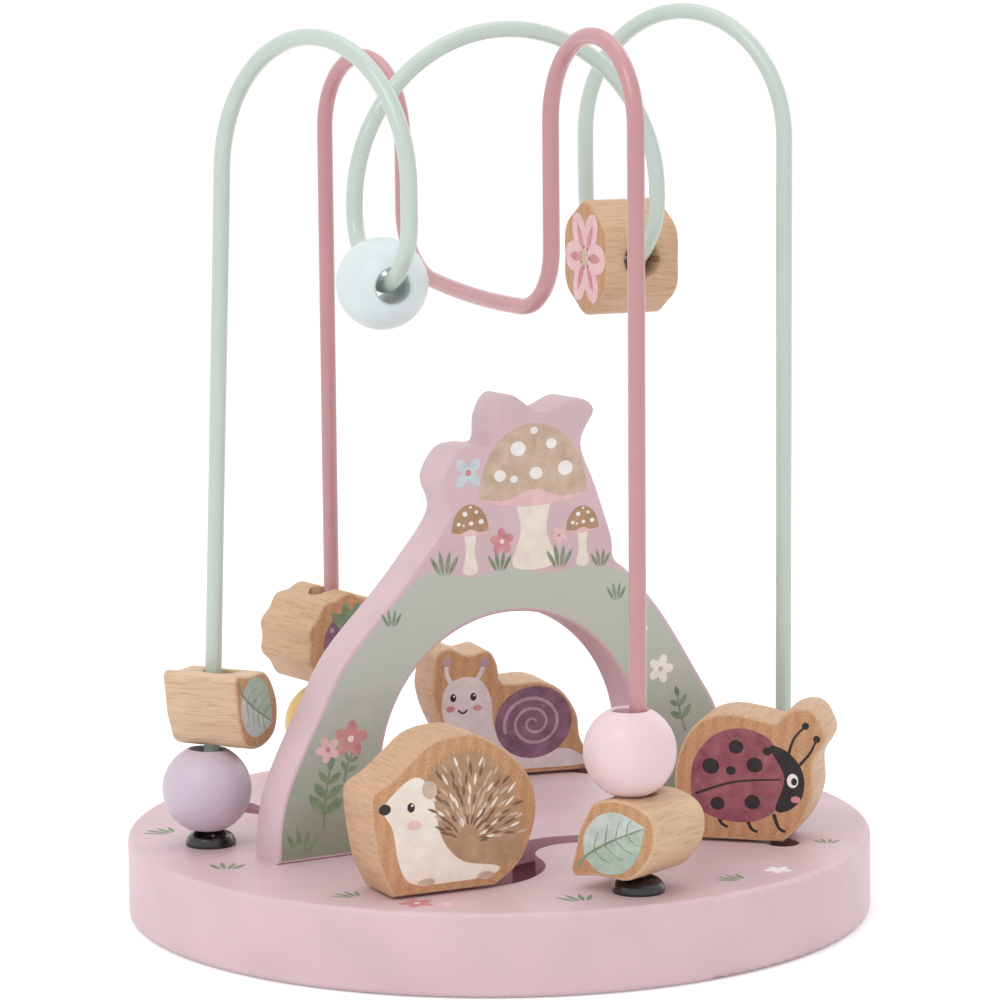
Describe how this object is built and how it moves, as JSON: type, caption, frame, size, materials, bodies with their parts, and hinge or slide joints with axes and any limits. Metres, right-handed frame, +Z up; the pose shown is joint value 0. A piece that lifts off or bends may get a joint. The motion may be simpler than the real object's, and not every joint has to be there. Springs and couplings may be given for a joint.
{
  "type": "bead maze",
  "caption": "Round wooden bead maze with a lobed arch panel, bent wires carrying balls and shaped beads, and animal blocks that slide in tracks in the base.",
  "frame": {"origin": "bottom centre of the round base", "axes": "+Z up, the arch panel's printed face looks to -Y"},
  "size_m": [0.2, 0.2, 0.2408],
  "materials": {
    "base_paint": "satin paint",
    "panel_paint": "satin paint",
    "cover_board": "bare hardboard",
    "steel": "zinc plated",
    "mint_coat": "gloss coating",
    "pink_coat": "gloss coating",
    "black_plastic": "gloss",
    "white_plastic": "matte",
    "lavender_paint": "satin paint",
    "pale_pink_paint": "satin paint",
    "yellow_paint": "satin paint",
    "pale_mint_paint": "satin paint",
    "beech": "clear lacquer"
  },
  "bodies": {
    "base": {"base_deck": "base_paint", "base_cover": "cover_board", "cover_screws": "steel", "arch_panel": "panel_paint", "panel_screws": "steel", "mint_wire": "mint_coat", "pink_wire": "pink_coat", "wire_locks": "steel", "mint_left_collar": "black_plastic", "mint_right_collar": "black_plastic", "pink_front_collar": "black_plastic", "pink_rear_collar": "black_plastic"},
    "lavender": {"lavender_ball": "lavender_paint"},
    "left_leaf": {"leaf_bead_left": "beech"},
    "front_leaf": {"leaf_bead_front": "beech"},
    "front_ball": {"pink_ball": "pale_pink_paint"},
    "rear_ball": {"yellow_ball": "yellow_paint"},
    "berry": {"berry_bead": "beech"},
    "trough_ball": {"mint_ball": "pale_mint_paint"},
    "flower": {"flower_bead": "beech"},
    "hedgehog_carrier": {"hedgehog_slider": "white_plastic"},
    "hedgehog": {"hedgehog_block": "beech", "hedgehog_screw": "steel"},
    "snail_carrier": {"snail_slider": "white_plastic"},
    "snail": {"snail_block": "beech", "snail_screw": "steel"},
    "ladybird_carrier": {"ladybird_slider": "white_plastic"},
    "ladybird": {"ladybird_block": "beech", "ladybird_screw": "steel"}
  },
  "joints": [
    {"name": "lavender_slide", "type": "slide", "parent": "base", "child": "lavender", "axis": [0.044, 0.0088, 0.999], "range_m": [0, 0.06]},
    {"name": "left_leaf_slide", "type": "slide", "parent": "lavender", "child": "left_leaf", "axis": [0.044, 0.0088, 0.999], "range_m": [0, 0.06]},
    {"name": "front_leaf_slide", "type": "slide", "parent": "base", "child": "front_leaf", "axis": [0, 0, 1], "range_m": [0, 0.065]},
    {"name": "front_ball_slide", "type": "slide", "parent": "front_leaf", "child": "front_ball", "axis": [0, 0, 1], "range_m": [0, 0.065]},
    {"name": "rear_ball_slide", "type": "slide", "parent": "base", "child": "rear_ball", "axis": [0, 0, 1], "range_m": [0, 0.06]},
    {"name": "berry_slide", "type": "slide", "parent": "rear_ball", "child": "berry", "axis": [0, 0, 1], "range_m": [0, 0.06]},
    {"name": "trough_ball_swing", "type": "hinge", "parent": "base", "child": "trough_ball", "pos_m": [-0.04725, -0.02475, 0.2019], "axis": [-0.9774, 0.2116, 0], "range_deg": [-20, 20]},
    {"name": "flower_swing", "type": "hinge", "parent": "base", "child": "flower", "pos_m": [0.05025, 0.01725, 0.19544], "axis": [-0.9908, 0.1356, 0], "range_deg": [-16, 16]},
    {"name": "hedgehog_run", "type": "hinge", "parent": "base", "child": "hedgehog_carrier", "pos_m": [-0.0365, -0.0355, 0.02], "axis": [0, 0, 1], "range_deg": [-36, 60]},
    {"name": "hedgehog_turn", "type": "hinge", "parent": "hedgehog_carrier", "child": "hedgehog", "pos_m": [-0.04821, -0.05353, 0.02], "axis": [0, 0, 1], "range_deg": [-20, 20]},
    {"name": "snail_run", "type": "hinge", "parent": "base", "child": "snail_carrier", "pos_m": [0.036, 0.034, 0.02], "axis": [0, 0, 1], "range_deg": [-70, 70]},
    {"name": "snail_turn", "type": "hinge", "parent": "snail_carrier", "child": "snail", "pos_m": [0.036, 0.059, 0.02], "axis": [0, 0, 1], "range_deg": [-25, 25]},
    {"name": "ladybird_run", "type": "hinge", "parent": "base", "child": "ladybird_carrier", "pos_m": [0.0355, -0.057, 0.02], "axis": [0, 0, 1], "range_deg": [-33, 35]},
    {"name": "ladybird_turn", "type": "hinge", "parent": "ladybird_carrier", "child": "ladybird", "pos_m": [0.05055, -0.04916, 0.02], "axis": [0, 0, 1], "range_deg": [-25, 25]}
  ]
}
